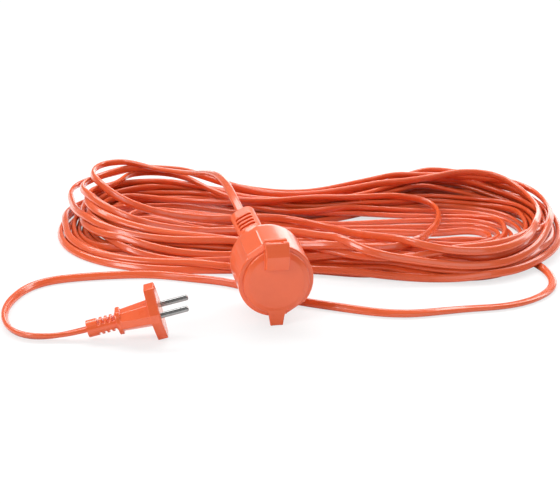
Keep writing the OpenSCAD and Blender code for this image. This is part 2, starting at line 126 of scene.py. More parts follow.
class Net:
    """Builds one material's nodes."""

    def __init__(self, name: str) -> None:
        """Makes an empty node material of that name."""
        self.material = bpy.data.materials.new(name)
        self.material.use_nodes = True
        self.tree = self.material.node_tree
        self.tree.nodes.clear()

    def add(
        self, kind: str, settings: dict[str, Any] | None = None,
        inputs: dict[Any, Any] | None = None, output: Any = 0,
    ) -> Sock:
        """Adds one node.

        Args:
            kind: The node's type.
            settings: Attributes of the node, or "ramp" with (place, brightness) pairs.
            inputs: Socket values or links by socket name or number.
            output: The name or number of the wanted output.

        Returns:
            That output.
        """
        node = self.tree.nodes.new(kind)
        for key, value in (settings or {}).items():
            if key == "ramp":
                self._fill_ramp(node.color_ramp, value)
            else:
                setattr(node, key, value)
        for key, value in (inputs or {}).items():
            raw = value.value if isinstance(value, Sock) else value
            if isinstance(raw, bpy.types.NodeSocket):
                self.tree.links.new(raw, node.inputs[key])
            elif isinstance(raw, tuple) and len(raw) == 3 and node.inputs[key].type == "RGBA":
                node.inputs[key].default_value = (*raw, 1.0)
            else:
                node.inputs[key].default_value = raw
        return Sock(self, node.outputs[output] if node.outputs else node)

    @staticmethod
    def _fill_ramp(ramp: bpy.types.ColorRamp, stops: Stops) -> None:
        """Sets a grey ramp's stops to (place, brightness) pairs."""
        while len(ramp.elements) < len(stops):
            ramp.elements.new(1.0)
        for element, (place, grey) in zip(ramp.elements, stops):
            element.position = place
            element.color = (grey, grey, grey, 1.0)

    def coordinates(self, which: str = "Object", scale: Point = (1.0, 1.0, 1.0)) -> Sock:
        """Returns scaled texture coordinates of the piece itself."""
        source = self.add("ShaderNodeTexCoord", {}, {}, which)
        return self.add("ShaderNodeMapping", {}, {"Vector": source, "Scale": scale})

    def noise(self, where: Sock, scale: float, detail: float = 3.0, rough: float = 0.5) -> Sock:
        """Returns a noise value from 0 to 1.

        Args:
            where: The coordinates.
            scale: Features per metre.
            detail: Octaves.
            rough: Share of each finer octave.

        Returns:
            The noise value.
        """
        inputs = {"Vector": where, "Scale": scale, "Detail": detail, "Roughness": rough}
        return self.add("ShaderNodeTexNoise", {}, inputs)

    def ramp(self, value: Sock, stops: Stops) -> Sock:
        """Returns the value put through a grey ramp."""
        return self.add("ShaderNodeValToRGB", {"ramp": stops}, {"Fac": value})

    def mix(self, share: Any, a: Any, b: Any) -> Sock:
        """Returns colour a mixed with colour b by share."""
        inputs = {0: share, 6: a, 7: b}
        return self.add("ShaderNodeMix", {"data_type": "RGBA"}, inputs, 2)

    def bump(self, height: Sock, depth: float, below: Sock | None = None) -> Sock:
        """Returns a normal bumped by height times depth in metres, on top of another normal."""
        inputs: dict[Any, Any] = {"Height": height, "Distance": depth, "Strength": 1.0}
        if below is not None:
            inputs["Normal"] = below
        return self.add("ShaderNodeBump", {}, inputs)

    def finish(self, **sockets: Any) -> Material:
        """Ends the net in a Principled shader.

        Args:
            sockets: Values or links by socket name, with underscores for blanks.

        Returns:
            The material.
        """
        inputs = {key.replace("_", " "): value for key, value in sockets.items()}
        shader = self.add("ShaderNodeBsdfPrincipled", {}, inputs)
        self.add("ShaderNodeOutputMaterial", {}, {"Surface": shader})
        return self.material


@dataclass(frozen=True)
class Pvc:
    """What the kinds of PVC share: a fine grain, a clear coat and light that goes in a little."""

    name: str
    base: Colour
    pale: Colour
    roughness: float = 0.42
    grain: float = 0.016 * MM
    coat: float = 0.55
    coat_roughness: float = 0.13
    deep: float = 0.86
    smoother: float = 0.08
    glow: float = 0.06
    glow_depth: float = 1.2 * MM

    def shade(self, net: Net, tint: Sock, rough: Sock, normal: Sock) -> Material:
        """Ends a net in the plastic's shader.

        Args:
            net: The nodes so far.
            tint: Share of the pale colour.
            rough: Roughness above the least.
            normal: The bumped normal.

        Returns:
            The material.
        """
        deep = tuple(c * self.deep for c in self.base)
        return net.finish(
            Base_Color=net.mix(tint.clamp(), deep, self.pale), Normal=normal, IOR=PVC_IOR,
            Roughness=(rough + (self.roughness - self.smoother)).clamp(), Coat_Weight=self.coat,
            Coat_Roughness=self.coat_roughness, Subsurface_Weight=self.glow,
            Subsurface_Scale=self.glow_depth, Subsurface_Radius=PVC_SCATTER,
        )


@dataclass(frozen=True)
class MouldedPvc(Pvc):
    """Moulded PVC: fine spark grain, faint flow marks, rubbed and dusty patches."""

    flow: float = 0.02 * MM
    flow_stretch: Point = (1.0, 0.35, 1.0)
    drift_scale: float = 45.0
    grain_scale: float = 2600.0
    flow_scale: float = 260.0
    scuff_scale: float = 150.0
    scuff_stops: Stops = ((0.60, 0.0), (0.72, 1.0))

    def build(self) -> Material:
        """Returns the material."""
        net = Net(self.name)
        where = net.coordinates()
        drift = net.noise(where, self.drift_scale, 2.0)
        grain = net.noise(where, self.grain_scale, 2.0, 0.6)
        flow = net.noise(net.coordinates(scale=self.flow_stretch), self.flow_scale, 3.0, 0.55)
        scuff = net.ramp(net.noise(where, self.scuff_scale, 6.0, 0.68), self.scuff_stops)
        tint = drift * 0.5 + flow * 0.22 + grain * 0.1 + scuff * 0.12
        rough = drift * 0.10 + scuff * 0.14 + grain * 0.06
        normal = net.bump(flow, self.flow, net.bump(grain, self.grain))
        return self.shade(net, tint, rough, normal)


@dataclass(frozen=True)
class SheathPvc(Pvc):
    """Glossy extruded sheath: long draw lines, slight waviness, handling marks."""

    roughness: float = 0.3
    grain: float = 0.006 * MM
    coat: float = 0.5
    coat_roughness: float = 0.08
    deep: float = 0.84
    glow: float = 0.05
    glow_depth: float = 1.0 * MM
    lines: float = 0.012 * MM
    lines_stretch: Point = (60.0, 18.0, 1.0)
    drift_scale: float = 30.0
    grain_scale: float = 1500.0
    marks_scale: float = 240.0
    marks_stops: Stops = ((0.62, 0.0), (0.74, 1.0))

    def build(self) -> Material:
        """Returns the material."""
        net = Net(self.name)
        where = net.coordinates()
        lines = net.noise(net.coordinates("UV", self.lines_stretch), 1.0, 4.0, 0.6)
        drift = net.noise(where, self.drift_scale, 2.0)
        grain = net.noise(where, self.grain_scale, 2.0, 0.5)
        marks = net.ramp(net.noise(where, self.marks_scale, 5.0, 0.7), self.marks_stops)
        tint = drift * 0.45 + lines * 0.25 + marks * 0.10 + grain * 0.08
        rough = lines * 0.05 + marks * 0.14 + drift * 0.06
        normal = net.bump(lines, self.lines, net.bump(grain, self.grain))
        return self.shade(net, tint, rough, normal)


@dataclass(frozen=True)
class Metal:
    """Plated or plain metal with fine uneven working marks and smears."""

    name: str
    base: Colour
    roughness: float
    turned: float = 0.0005 * MM
    deep: float = 0.82
    rings_stretch: Point = (3.0, 3.0, 3.0)
    rings_scale: float = 900.0
    smear_scale: float = 220.0

    def build(self) -> Material:
        """Returns the material."""
        net = Net(self.name)
        rings = net.noise(net.coordinates(scale=self.rings_stretch), self.rings_scale, 2.0)
        smear = net.noise(net.coordinates(), self.smear_scale, 4.0, 0.6)
        colour = net.mix(smear, tuple(c * self.deep for c in self.base), self.base)
        rough = (smear * 0.07 + rings * 0.03 + self.roughness).clamp()
        return net.finish(
            Base_Color=colour, Metallic=1.0, Roughness=rough, Normal=net.bump(rings, self.turned)
        )


@dataclass(frozen=True)
class Palette:
    """Every finish on the lead, by name."""

    sheath: SheathPvc = SheathPvc("orange_sheath", (0.76, 0.099, 0.025), (0.83, 0.138, 0.036))
    housing: MouldedPvc = MouldedPvc(
        "orange_housing", (0.84, 0.10, 0.016), (0.90, 0.14, 0.030), 0.34
    )
    rubber: MouldedPvc = MouldedPvc("orange_rubber", (0.84, 0.10, 0.018), (0.90, 0.14, 0.032), 0.28)
    guard: MouldedPvc = MouldedPvc(
        "orange_guard", (0.84, 0.10, 0.018), (0.90, 0.14, 0.032), 0.42, coat=0.15
    )
    # The bridge is a separate hard insert at the flange face. Its paler, pinker orange is partly its
    # own colour and partly a painted highlight for the bright patches on that face.
    bridge: MouldedPvc = MouldedPvc("orange_bridge", (0.78, 0.17, 0.07), (0.86, 0.26, 0.13), 0.4)
    insert: MouldedPvc = MouldedPvc("dark_insert", (0.03, 0.03, 0.032), (0.06, 0.06, 0.065), 0.5)
    brown: MouldedPvc = MouldedPvc("brown_core", (0.10, 0.04, 0.015), (0.16, 0.07, 0.03), 0.4)
    blue: MouldedPvc = MouldedPvc("blue_core", (0.02, 0.09, 0.42), (0.05, 0.15, 0.5), 0.4)
    plated: Metal = Metal("plated_pin", (0.34, 0.335, 0.33), 0.2)
    steel: Metal = Metal("hinge_steel", (0.5, 0.5, 0.5), 0.3)
    brass: Metal = Metal("contact_brass", (0.75, 0.56, 0.26), 0.28)

    def build(self) -> Finishes:
        """Returns the built materials by the field's name."""
        return {key: getattr(self, key).build() for key in self.__dataclass_fields__}


# ---------------------------------------------------------------- mesh tools
def new_object(name: str, data: Any) -> Piece:
    """Makes an object of some data and puts it in the scene."""
    made = bpy.data.objects.new(name, data)
    bpy.context.scene.collection.objects.link(made)
    return made


def cover(piece: Piece, material: Material, body: Body) -> None:
    """Gives a piece its one finish, smooth faces and the body that it rides on."""
    mesh = piece.data
    mesh.materials.clear()
    mesh.materials.append(material)
    mesh.polygons.foreach_set("use_smooth", [True] * len(mesh.polygons))
    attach(piece, body.value)
    LOG.info("%s: %d faces on %s", piece.name, len(mesh.polygons), body.value)


def new_piece(
    name: str, points: Iterable[Sequence[float]], faces: Iterable[Sequence[int]],
    material: Material, body: Body,
) -> Piece:
    """Makes a mesh piece that rides on a body.

    Args:
        name: The piece's name.
        points: Vertices in metres.
        faces: Faces as vertex numbers.
        material: Its finish.
        body: The body it moves with.

    Returns:
        The new object.
    """
    mesh = bpy.data.meshes.new(name)
    mesh.from_pydata([tuple(p) for p in points], [], [tuple(f) for f in faces])
    piece = new_object(name, mesh)
    cover(piece, material, body)
    return piece


def dress(node: str, material: Material) -> None:
    """Gives a CAD node's object a finish."""
    piece = frame["nodes"][node]
    if not piece.material_slots:
        piece.data.materials.append(material)
    for place in piece.material_slots:
        place.material = material


def dress_wires(end: str, finishes: Finishes) -> None:
    """Gives one end's crimps and wires their finishes: brown is live and blue is neutral."""
    for side, core in (("live", "brown"), ("neutral", "blue")):
        dress(f"{end}_crimp_{side}", finishes["brass"])
        dress(f"{end}_core_{side}", finishes[core])


def softened(
    node: str, name: str, material: Material, body: Body, cell: float, rounds: int
) -> Piece:
    """Makes a moulded copy of a CAD node, with its sharp edges rounded.

    Args:
        node: The CAD node that it replaces.
        name: The piece's name.
        material: Its finish.
        body: The body it moves with.
        cell: Size of the remeshing cells, in metres.
        rounds: Smoothing steps.

    Returns:
        The new piece.
    """
    source = frame["nodes"][node]
    mesh = bpy.data.meshes.new(name)
    work = bmesh.new()
    work.from_mesh(source.data)
    bmesh.ops.remove_doubles(work, verts=work.verts, dist=WELD)
    work.to_mesh(mesh)
    work.free()
    piece = new_object(name, mesh)
    remesh = piece.modifiers.new("cells", "REMESH")
    remesh.mode = "VOXEL"
    remesh.voxel_size = cell
    smooth = piece.modifiers.new("rounded", "SMOOTH")
    smooth.factor = SMOOTHING
    smooth.iterations = rounds
    graph = bpy.context.evaluated_depsgraph_get()
    solid = bpy.data.meshes.new_from_object(piece.evaluated_get(graph))
    piece.modifiers.clear()
    piece.data = solid
    cover(piece, material, body)
    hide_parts(node)
    return piece


# ---------------------------------------------------------------- cord
@dataclass
class CordSection:
    """The flat two-core cord's section, in metres."""

    width: float = 6.0 * MM
    thickness: float = 3.8 * MM
    groove: float = 0.22 * MM
    groove_half: float = 0.55 * MM
    across_power: float = 0.95
    up_power: float = 0.84
    sides: int = 24

    def outline(self) -> Array:
        """Returns the section's points as (across, up) rows."""
        turn = np.arange(self.sides) * 2 * math.pi / self.sides
        c, s = np.cos(turn), np.sin(turn)
        across = self.width / 2 * np.sign(c) * np.abs(c) ** self.across_power
        up = self.thickness / 2 * np.sign(s) * np.abs(s) ** self.up_power
        dip = self.groove * np.exp(-((across / self.groove_half) ** 2))
        return np.stack([across, up - np.sign(s) * dip], 1)

    def reach(self, roll: Array) -> Array:
        """Returns the half height of the section at each roll, in radians."""
        wide, tall = self.width / 2, self.thickness / 2
        return np.sqrt((wide * np.sin(roll)) ** 2 + (tall * np.cos(roll)) ** 2)


def smooth_rows(rows: Array, sigma: float) -> Array:
    """Returns rows smoothed along the first axis by a bell of that many rows, ends held."""
    half = int(math.ceil(3 * sigma))
    bell = np.exp(-0.5 * (np.arange(-half, half + 1) / sigma) ** 2)
    bell /= bell.sum()
    flat = rows.reshape(len(rows), -1)
    first, last = flat[0], flat[-1]
    head = 2 * first - flat[half:0:-1]
    tail = 2 * last - flat[-2 : -half - 2 : -1]
    padded = np.concatenate([head, flat, tail])
    out = np.stack([np.convolve(padded[:, i], bell, "valid") for i in range(flat.shape[1])], 1)
    return out.reshape(rows.shape)


def resample(rows: Array, step: float) -> Array:
    """Returns rows [x, y, z, more...] at even steps along their x, y, z length."""
    run = np.concatenate([[0], np.cumsum(np.linalg.norm(np.diff(rows[:, :3], axis=0), axis=1))])
    count = max(2, int(round(run[-1] / step)) + 1)
    places = np.linspace(0, run[-1], count)
    return np.stack([np.interp(places, run, rows[:, i]) for i in range(rows.shape[1])], 1)


def spline(knots: Array, per_span: int = 12) -> Array:
    """Returns a centripetal Catmull-Rom curve through knots [x, y, z, more...].

    Args:
        knots: One row per knot.
        per_span: Points made between two knots.

    Returns:
        The curve's rows.
    """
    rows = np.concatenate([[2 * knots[0] - knots[1]], knots, [2 * knots[-1] - knots[-2]]])
    gaps = np.sqrt(np.linalg.norm(np.diff(rows[:, :3], axis=0), axis=1)) + 1e-9
    out = []
    for i in range(1, len(rows) - 2):
        a, b, c, d = rows[i - 1 : i + 3]
        t1, t2, t3 = gaps[i - 1], gaps[i - 1] + gaps[i], gaps[i - 1] + gaps[i] + gaps[i + 1]
        t = np.linspace(t1, t2, per_span, endpoint=False)[:, None]
        ab = a + (b - a) * t / t1
        bc = b + (c - b) * (t - t1) / (t2 - t1)
        cd = c + (d - c) * (t - t2) / (t3 - t2)
        left = ab + (bc - ab) * t / t2
        right = bc + (cd - bc) * (t - t1) / (t3 - t1)
        out.append(left + (right - left) * (t - t1) / (t2 - t1))
    return np.concatenate([*out, rows[-2][None]])


@dataclass
class CordRoute:
    """Where the free stretches lie: knots of x, y, z in metres and roll in degrees.

    The grip says how far along each guard's axis its knots lie, from inside to outside.
    """

    plug_at: Point = (-0.083, -0.028, 0.019036)
    plug_turn: float = -5.6
    plug_pitch_up: float = 14.2
    exit_clock: float = 28.0
    exit_tilt: float = 20.0
    rim_y: float = -0.0208
    axis_h: float = 0.032
    exit_y: float = 0.046
    exit_r: float = 0.0186
    guard_len: float = 0.0244
    plug_end: float = 0.0473
    grip: tuple[float, ...] = (-0.012, 0.0, 0.006)
    heap_start: Pair = (0.149, 0.0945)
    tail: list[Knot] = field(
        default_factory=lambda: [
            (-0.148, -0.0218, 0.0034, 25), (-0.159, -0.021, 0.003, 45),
            (-0.170, -0.0175, 0.003, 50), (-0.1785, -0.008, 0.003, 50),
            (-0.1828, 0.006, 0.003, 50), (-0.1835, 0.022, 0.003, 55),
            (-0.181, 0.038, 0.003, 60), (-0.1745, 0.054, 0.003, 60),
            (-0.165, 0.068, 0.003, 55), (-0.151, 0.077, 0.003, 50),
            (-0.134, 0.080, 0.003, 45), (-0.114, 0.0805, 0.003, 45),
            (-0.094, 0.0795, 0.003, 45), (-0.076, 0.0768, 0.003, 50),
            (-0.060, 0.0705, 0.003, 60), (-0.0435, 0.0625, 0.003, 75),
            (-0.029, 0.0555, 0.0031, 90), (-0.015, 0.045, 0.0031, 90),
            (-0.005, 0.033, 0.0031, 90), (0.006, 0.021, 0.0031, 90),
            (0.020, 0.010, 0.0031, 80), (0.036, 0.0005, 0.003, 60),
            (0.054, -0.010, 0.003, 50), (0.073, -0.020, 0.003, 40),
            (0.093, -0.025, 0.0028, 30), (0.115, -0.024, 0.0026, 20),
            (0.137, -0.0225, 0.0024, 10), (0.158, -0.0225, 0.0022, 0),
            (0.177, -0.018, 0.002, 0), (0.193, -0.009, 0.002, 0),
            (0.206, 0.004, 0.002, 0), (0.213, 0.020, 0.002, 0),
            (0.215, 0.037, 0.002, 0), (0.212, 0.054, 0.002, 0),
            (0.205, 0.069, 0.002, 0), (0.194, 0.081, 0.002, 0),
            (0.179, 0.090, 0.002, 0),
        ]
    )
    arch: list[Knot] = field(
        default_factory=lambda: [
            (-0.016, 0.068, 0.0615, 29), (-0.017, 0.084, 0.0635, 27),
            (-0.018, 0.101, 0.0635, 24), (-0.019, 0.118, 0.062, 20),
            (-0.0205, 0.136, 0.0585, 15), (-0.0225, 0.154, 0.0535, 10),
            (-0.0255, 0.172, 0.0475, 5), (-0.030, 0.189, 0.0415, 0),
            (-0.036, 0.205, 0.037, 0), (-0.044, 0.221, 0.0335, -10),
            (-0.055, 0.236, 0.031, -20),
        ]
    )

    def plug_stop(self, d: float) -> Knot:
        """Returns the point d metres behind the plug's middle, on its axis."""
        p, y = math.radians(self.plug_pitch_up), math.radians(self.plug_turn)
        x0, y0, z0 = self.plug_at
        run = d * math.cos(p)
        return x0 - run * math.cos(y), y0 - run * math.sin(y), z0 - d * math.sin(p), 0.0

    def exit_stop(self, d: float) -> Knot:
        """Returns the point d metres out along the socket's cord exit."""
        clock, tilt = math.radians(self.exit_clock), math.radians(self.exit_tilt)
        up = self.exit_r + d * math.sin(tilt)
        roll = math.degrees(math.atan2(math.sin(clock), math.cos(clock) * math.cos(tilt)))
        return (
            -math.sin(clock) * up,
            self.rim_y + self.exit_y + d * math.cos(tilt),
            self.axis_h + math.cos(clock) * up,
            roll,
        )

    def tail_knots(self) -> list[Knot]:
        """Returns the plug side's knots, plug first."""
        inside = [self.plug_stop(self.plug_end + d) for d in self.grip]
        return [*inside, *self.tail]

    def arch_knots(self) -> list[Knot]:
        """Returns the socket side's knots, hank first."""
        inside = [self.exit_stop(self.guard_len + d) for d in self.grip[::-1]]
        return [*self.arch[::-1], *inside]


@dataclass(frozen=True)
class Gate:
    """A ray round the hank that each loop crosses: at the rope of loops or inside it."""

    root: Pair
    angle: float
    outer: float
    inner: float
    core: float

    def place(self, share: float) -> Pair:
        """Returns the point in millimetres of (u, v): 0 outermost, 1 inner edge, 2 core."""
        a = math.radians(self.angle)
        reach = self.outer + (self.inner - self.outer) * min(share, 1.0)
        reach += (self.core - self.inner) * max(share - 1.0, 0.0)
        return self.root[0] + reach * math.cos(a), self.root[1] + reach * math.sin(a)


LEFT_LOBE = (-105.0, 0.0)
RIGHT_LOBE = (110.0, -10.0)


@dataclass
class Hank:
    """The waisted hank: each loop is laid on the ones before it and rests on them.

    Gates and shares lay the loops by rule, in millimetres from the hank's centre. The shares
    were picked by a search in a separate script. The top points, which are the plan of the four
    uppermost loops, were worked out by another separate script and pasted in.
    """

    centre: Pair = (53.0, 147.0)
    turn: float = -12.0
    swing: float = 0.035
    sag: float = 4.0
    seed: int = 11
    change: int = 5
    shares: tuple[float, ...] = (
        0.0, 0.45, 2.0, 0.15, 0.8, 0.33, 1.5, 1.0, 1.5, 0.44,
        0.7, 0.3, 1.75, 0.37, 1.2, 0.9, 0.95, 0.05, 0.6,
    )
    gates: list[Gate] = field(
        default_factory=lambda: [
            Gate(RIGHT_LOBE, -72, 86, 66, 24), Gate((58.0, -5.0), -90, 84, 54, 14),
            Gate((5.0, 0.0), -90, 82, 46, 6), Gate(LEFT_LOBE, -105, 84, 48, 4),
            Gate(LEFT_LOBE, -145, 88, 56, 26), Gate(LEFT_LOBE, 178, 90, 62, 50),
            Gate(LEFT_LOBE, 135, 98, 73, 44), Gate(LEFT_LOBE, 95, 90, 66, 14),
            Gate((-5.0, 0.0), 90, 59, 30, -4), Gate((58.0, 0.0), 90, 80, 46, -4),
            Gate(RIGHT_LOBE, 95, 111, 74, 6), Gate(RIGHT_LOBE, 48, 110, 74, 26),
            Gate(RIGHT_LOBE, 5, 85, 66, 36), Gate(RIGHT_LOBE, -35, 82, 62, 32),
        ]
    )
    top: list[Pair] = field(
        default_factory=lambda: [
            (122, -77), (70, -89), (26, -80), (-11, -58), (-73, -49), (-116, -46), (-147, -35),
            (-162, -22), (-172, -4), (-175, 13), (-170, 25), (-159, 30), (-153, 58), (-146, 78),
            (-136, 83), (-123, 85), (-111, 78), (-98, 63), (-85, 51), (-73, 41), (-59, 30),
            (-22, 26), (6, 27), (35, 33), (57, 45), (79, 54), (96, 55), (106, 40), (104, 14),
            (94, -28), (79, -76), (55, -83), (35, -81), (8, -74), (-53, -54), (-83, -56),
            (-104, -54), (-122, -51), (-135, -48), (-148, -42), (-161, -33), (-174, -15),
            (-186, 18), (-193, 42), (-196, 60), (-192, 71), (-182, 73), (-170, 75), (-155, 79),
            (-137, 81), (-118, 79), (-99, 81), (-79, 76), (-59, 71), (-24, 65), (6, 63),
            (35, 68), (64, 63), (93, 70), (123, 71), (158, 64), (179, 49), (187, 22), (188, -7),
            (181, -40), (167, -67), (153, -81), (132, -91), (113, -92), (93, -93), (74, -92),
            (54, -93), (32, -83), (8, -52), (-20, -21), (-53, -20), (-69, -24), (-90, -31),
            (-108, -35), (-123, -36), (-136, -33), (-148, -28), (-160, -19), (-170, -6),
            (-177, 8), (-180, 26), (-178, 42), (-169, 53), (-158, 67), (-145, 75), (-129, 77),
            (-108, 74), (-94, 72), (-78, 65), (-58, 60), (-23, 44), (6, 46), (35, 53), (64, 54),
            (93, 61), (123, 68), (151, 64), (171, 45), (179, 17), (177, -23), (168, -56),
            (153, -75), (132, -86), (112, -89), (93, -87), (74, -82), (48, -52), (14, -10),
            (-22, 12), (-55, 6), (-72, 5), (-94, 2), (-110, 1), (-123, 1), (-137, 3), (-150, 7),
            (-162, 14), (-169, 23), (-174, 40), (-175, 61), (-170, 74), (-161, 77), (-147, 71),
        ]
    )

    def plan(self, start: Pair) -> Array:
        """Returns the loops' knots in plan.

        A loop crosses the gates at its share, and takes up the next one's over change gates.

        Args:
            start: Where the loops begin, as x, y in metres.

        Returns:
            Rows of x, y in metres.
        """
        rng = np.random.default_rng(self.seed)
        rows = []
        count = len(self.gates)
        for share, after in zip(self.shares, (*self.shares[1:], self.shares[-1])):
            swing = rng.normal(0, self.swing, count)
            turn_at = rng.integers(0, count - self.change)
            for k, gate in enumerate(self.gates):
                done = min(max((k - turn_at) / self.change, 0.0), 1.0)
                here = share + (after - share) * done**2 * (3 - 2 * done)
                rows.append(gate.place(here + swing[k]))
        rows = rows[1:] + self.top
        return np.array([start, *(self.turned(u, v) for u, v in rows)])

    def turned(self, u: float, v: float) -> Pair:
        """Returns the hank's own (u, v), in millimetres, as x, y in metres."""
        a = math.radians(self.turn)
        x = self.centre[0] + u * math.cos(a) - v * math.sin(a)
        y = self.centre[1] + u * math.sin(a) + v * math.cos(a)
        return x * MM, y * MM


@dataclass
class Twist:
    """How the loops are rolled, in degrees: by edge, more in tight turns, and at random.

    Tight is the bend, in radians per metre, at which the lean is full.
    """

    seed: int = 5
    edge: float = 54.0
    lean: float = 18.0
    wander: float = 15.0
    tight: float = 28.0
    every: int = 45
    spare: int = 4
    lean_rows: float = 6.0
    wander_rows: float = 12.0

    def along(self, rows: Array, step: float) -> Array:
        """Returns the roll in radians at each of the rows, which stand a step apart."""
        rng = np.random.default_rng(self.seed)
        way = np.gradient(rows[:, :2], axis=0)
        heading = np.unwrap(np.arctan2(way[:, 1], way[:, 0]))
        bend = np.abs(np.gradient(heading)) / step
        lean = np.clip(smooth_rows(bend[:, None], self.lean_rows)[:, 0] / self.tight, 0, 1)
        knots = rng.normal(0, 1, len(rows) // self.every + self.spare)
        wander = np.interp(np.arange(len(rows)) / self.every, np.arange(len(knots)), knots)
        wander = smooth_rows(wander[:, None], self.wander_rows)[:, 0]
        return -np.radians(self.edge + self.lean * lean + self.wander * wander)


@dataclass
class Cord:
    """The whole cord from the plug to the socket, one piece.

    Names that end in rows are widths of smoothing, in rows. The costs weigh a strand's slide
    sideways against the height that it saves.
    """

    section: CordSection = field(default_factory=CordSection)
    route: CordRoute = field(default_factory=CordRoute)
    hank: Hank = field(default_factory=Hank)
    twist: Twist = field(default_factory=Twist)
    step: float = 4.0 * MM
    ring_step: float = 3.0 * MM
    join_from: int = 40
    join_to: int = 12
    join_every: int = 9
    plan_rows: float = 3.0
    chunk: int = 100
    overlap: int = 34
    clear: int = 40
    slide: float = 5.0 * MM
    slide_top: float = 1.5 * MM
    slots: int = 11
    top_after: float = 0.6
    squeeze: float = 0.985
    beside: float = 1.1
    crossing: float = 0.8
    stray_cost: float = 0.05
    jump_cost: float = 1.5
    nestle_rows: float = 2.0
    drape_rounds: int = 900
    lift_rounds: int = 4
    lift_rows: float = 2.0
    lift: float = 0.75
    soft_rows: float = 1.6
    join_rows: float = 5.0
    join_reach: float = 9.0
    floor_gap: float = 0.02 * MM

    def lay(self) -> Array:
        """Returns the cord's centreline as rows [x, y, z, roll in radians]."""
        tail = spline(np.array(self.route.tail_knots(), float))
        arch = spline(np.array(self.route.arch_knots(), float))
        plan = self.hank.plan(self.route.heap_start)
        lead_in = tail[-self.join_from : -self.join_to : self.join_every, :2]
        knots = np.pad(np.concatenate([lead_in, plan]), ((0, 0), (0, 2)))
        loops = resample(spline(knots), self.step)
        loops[:, :2] = smooth_rows(loops[:, :2], self.plan_rows)
        loops[:, 3] = self.twist.along(loops, self.step)
        tail = resample(tail[: -self.join_from], self.step)
        arch = resample(arch, self.step)
        for stretch in (tail, arch):
            stretch[:, 3] = np.radians(stretch[:, 3])
        settled = self.settle(loops, tail)
        path = np.concatenate([tail, settled, arch])
        return self.blend(path, [len(tail), len(tail) + len(settled)])

    def settle(self, loops: Array, tail: Array) -> Array:
        """Lays the loops down in order, each on what already lies there.

        Args:
            loops: Rows with plan and roll set.
            tail: Rows already lying on the floor.

        Returns:
            The loops' rows with their heights.
        """
        laid = np.concatenate([tail, loops])
        base = len(tail)
        way = np.gradient(laid[:, :2], axis=0)
        way /= np.linalg.norm(way, axis=1)[:, None] + 1e-12
        right = np.stack([way[:, 1], -way[:, 0]], 1)
        floor = self.section.reach(laid[:, 3])
        plan = laid[:, :2].copy()
        upper = np.arange(len(laid)) >= base + self.first_top(loops)
        give = np.where(upper, self.slide_top, self.slide)
        slid = np.zeros(len(laid))
        z = laid[:, 2]
        z[base:] = floor[base:]
        for first in range(base, len(laid), self.chunk):
            low = max(base, first - self.overlap)
            last = min(first + self.chunk, len(laid))
            span = slice(low, last)
            laid[span, :2] = plan[span]
            tries = give[span, None] * np.linspace(-1, 1, self.slots)[None]
            rest = self.supports(laid, way, floor, low, last, tries)
            slid[span] = self.nestle(rest, tries, slid[low - 1])
            laid[span, :2] = plan[span] + slid[span, None] * right[span]
            rest = self.supports(laid, way, floor, low, last, np.zeros((last - low, 1)))
            z[span] = self.drape(z[low - 1], rest[:, 0])
        return laid[base:]

    def first_top(self, loops: Array) -> int:
        """Returns the row at which the loops on top of the heap begin."""
        spot = np.array(self.hank.turned(*self.hank.top[0]))
        late = int(len(loops) * self.top_after)
        return late + int(np.linalg.norm(loops[late:, :2] - spot, axis=1).argmin())

    def supports(
        self, laid: Array, way: Array, floor: Array, low: int, high: int, tries: Array
    ) -> Array:
        """Returns the lowest height each point can take at each sideways shift.

        Args:
            laid: All rows, those before low already at rest.
            way: Unit directions in plan.
            floor: Half heights of the section.
            low: First row to place.
            high: Row after the last to place.
            tries: One row of shifts to the right for each point.

        Returns:
            Heights, shaped like tries.
        """
        rows = np.arange(low, high)
        under = np.arange(0, max(low - self.clear // 2, 1))
        d = laid[rows, None, :2] - laid[None, under, :2]
        t = way[rows][:, None, :]
        along = np.abs((d * t).sum(2))
        side = d[..., 0] * t[..., 1] - d[..., 1] * t[..., 0]
        big, small = self.section.width * self.squeeze, self.section.thickness
        reach = big + np.abs(tries).max()
        near = (along < self.beside * self.step) & (np.abs(side) < reach)
        near &= (rows[:, None] - under[None]) > self.clear
        at, of = np.nonzero(near)
        out = np.repeat(floor[rows][:, None], tries.shape[1], 1)
        if len(at) == 0:
            return out
        roll = ((laid[rows[at], 3] + laid[under[of], 3]) / 2)[:, None]
        aside = side[at, of][:, None] + tries[at]
        wide2 = (big * np.cos(roll)) ** 2 + (small * np.sin(roll)) ** 2
        lean = -(big**2 - small**2) * np.sin(roll) * np.cos(roll)
        dome = (lean * aside + big * small * np.sqrt(np.maximum(wide2 - aside**2, 0))) / wide2
        mine, theirs = way[rows[at]], way[under[of]]
        cross = np.abs(mine[:, 0] * theirs[:, 1] - mine[:, 1] * theirs[:, 0])[:, None]
        both = (floor[rows[at]] + floor[under[of]])[:, None]
        dome = dome + cross * np.maximum(both - dome, 0) * self.crossing
        top = np.where(aside**2 < wide2, laid[under[of], 2][:, None] + dome, 0.0)
        np.maximum.at(out, at, top)
        return out

    def nestle(self, rest: Array, tries: Array, start: float) -> Array:
        """Returns the sideways shifts by which a strand slips into the hollows under it.

        Args:
            rest: Height of each point at each shift.
            tries: The shifts.
            start: Shift of the row before the first.

        Returns:
            One shift for each point, smooth along the cord.
        """
        mm = 1 / MM
        cost = rest * mm + self.stray_cost * (tries * mm) ** 2
        best = cost[0] + self.jump_cost * ((tries[0] - start) * mm) ** 2
        back = np.zeros(tries.shape, int)
        for k in range(1, len(rest)):
            jump = (tries[k][:, None] - tries[k - 1][None, :]) * mm
            move = best[None, :] + self.jump_cost * jump**2
            back[k] = move.argmin(1)
            best = move.min(1) + cost[k]
        chosen = np.zeros(len(rest))
        slot = int(best.argmin())
        for k in range(len(rest) - 1, -1, -1):
            chosen[k] = tries[k, slot]
            slot = back[k, slot]
        full = np.concatenate([[start], chosen])
        return smooth_rows(full[:, None], self.nestle_rows)[1:, 0]

